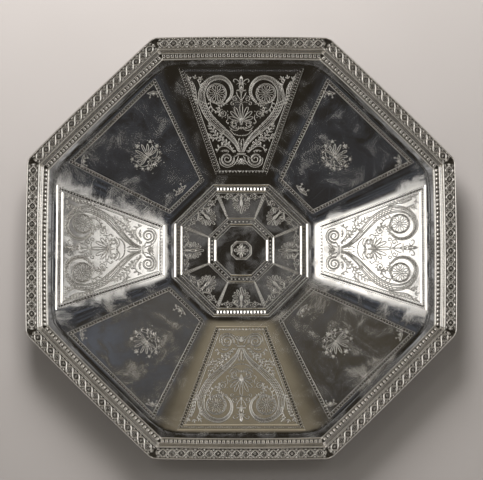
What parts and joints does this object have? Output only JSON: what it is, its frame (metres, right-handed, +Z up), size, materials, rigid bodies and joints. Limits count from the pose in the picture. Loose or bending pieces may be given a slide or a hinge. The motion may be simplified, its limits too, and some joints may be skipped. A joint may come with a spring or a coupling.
{
  "type": "silver salver",
  "caption": "Octagonal footed silver salver with a dished, faceted well, engraved panels and a mitred guilloche border.",
  "frame": {"origin": "on the surface the salver stands on, under its centre", "axes": "+Z up, out of the well; X and Y each square to two opposite sides of the octagon"},
  "size_m": [0.305, 0.305, 0.0245],
  "materials": {
    "plate_silver": "polished sterling silver, engraved, with fine polishing scratches and light tarnish",
    "border_silver": "polished silver relief with tarnish left in the recesses",
    "foot_silver": "polished cast silver"
  },
  "bodies": {
    "root": {"well_plate": "plate_silver", "border_strip_1": "border_silver", "border_strip_2": "border_silver", "border_strip_3": "border_silver", "border_strip_4": "border_silver", "border_strip_5": "border_silver", "border_strip_6": "border_silver", "border_strip_7": "border_silver", "border_strip_8": "border_silver", "dentil_moulding_1": "border_silver", "dentil_moulding_2": "border_silver", "dentil_moulding_3": "border_silver", "dentil_moulding_4": "border_silver", "dentil_moulding_5": "border_silver", "dentil_moulding_6": "border_silver", "dentil_moulding_7": "border_silver", "dentil_moulding_8": "border_silver", "foot_1": "foot_silver", "foot_2": "foot_silver", "foot_3": "foot_silver", "foot_4": "foot_silver"}
  },
  "joints": []
}
